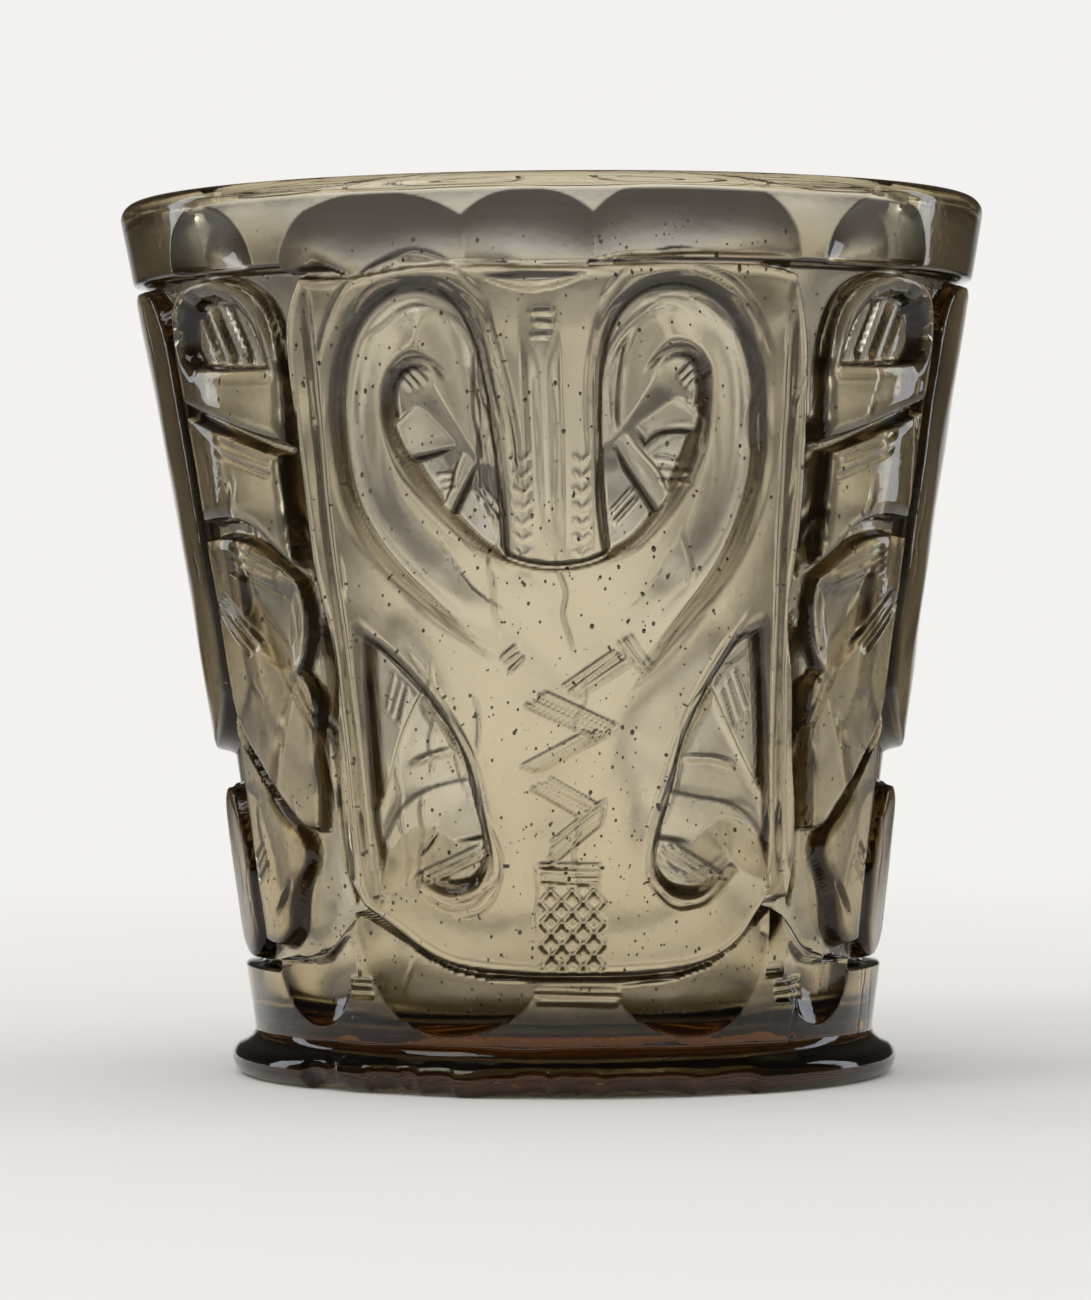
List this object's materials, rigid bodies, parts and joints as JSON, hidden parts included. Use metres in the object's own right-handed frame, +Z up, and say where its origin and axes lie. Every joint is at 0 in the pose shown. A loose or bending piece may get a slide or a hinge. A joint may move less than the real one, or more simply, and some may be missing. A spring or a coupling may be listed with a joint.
{
  "type": "cut glass beaker",
  "caption": "Thick smoky glass beaker with a flaring wall carved in deep relief, a scalloped plain band under the lip, and a beaded foot",
  "frame": {"origin": "on the cup's axis, in the plane that the foot rests on", "axes": "+Z up along the cup's axis, -Y to the front panel that the picture shows, +X to the right of that view"},
  "size_m": [0.139, 0.139, 0.14],
  "materials": {
    "glass": "polished, wheel-cut"
  },
  "bodies": {
    "root": {"cup": "glass", "foot": "glass", "front_panel": "glass", "front_left_curl": "glass", "front_right_curl": "glass", "front_left_crest": "glass", "front_left_chest": "glass", "front_left_body": "glass", "front_left_spandrel": "glass", "front_right_crest": "glass", "front_right_chest": "glass", "front_right_body": "glass", "front_right_spandrel": "glass", "back_panel": "glass", "back_left_curl": "glass", "back_right_curl": "glass", "back_left_crest": "glass", "back_left_chest": "glass", "back_left_body": "glass", "back_left_spandrel": "glass", "back_right_crest": "glass", "back_right_chest": "glass", "back_right_body": "glass", "back_right_spandrel": "glass", "left_shield": "glass", "left_front_lobe": "glass", "left_back_lobe": "glass", "front_left_eye_lobe": "glass", "front_left_eye_strut": "glass", "front_left_window_leaf": "glass", "front_left_window_lobe": "glass", "right_shield": "glass", "right_front_lobe": "glass", "right_back_lobe": "glass", "front_right_eye_lobe": "glass", "front_right_eye_strut": "glass", "front_right_window_leaf": "glass", "front_right_window_lobe": "glass"}
  },
  "joints": []
}
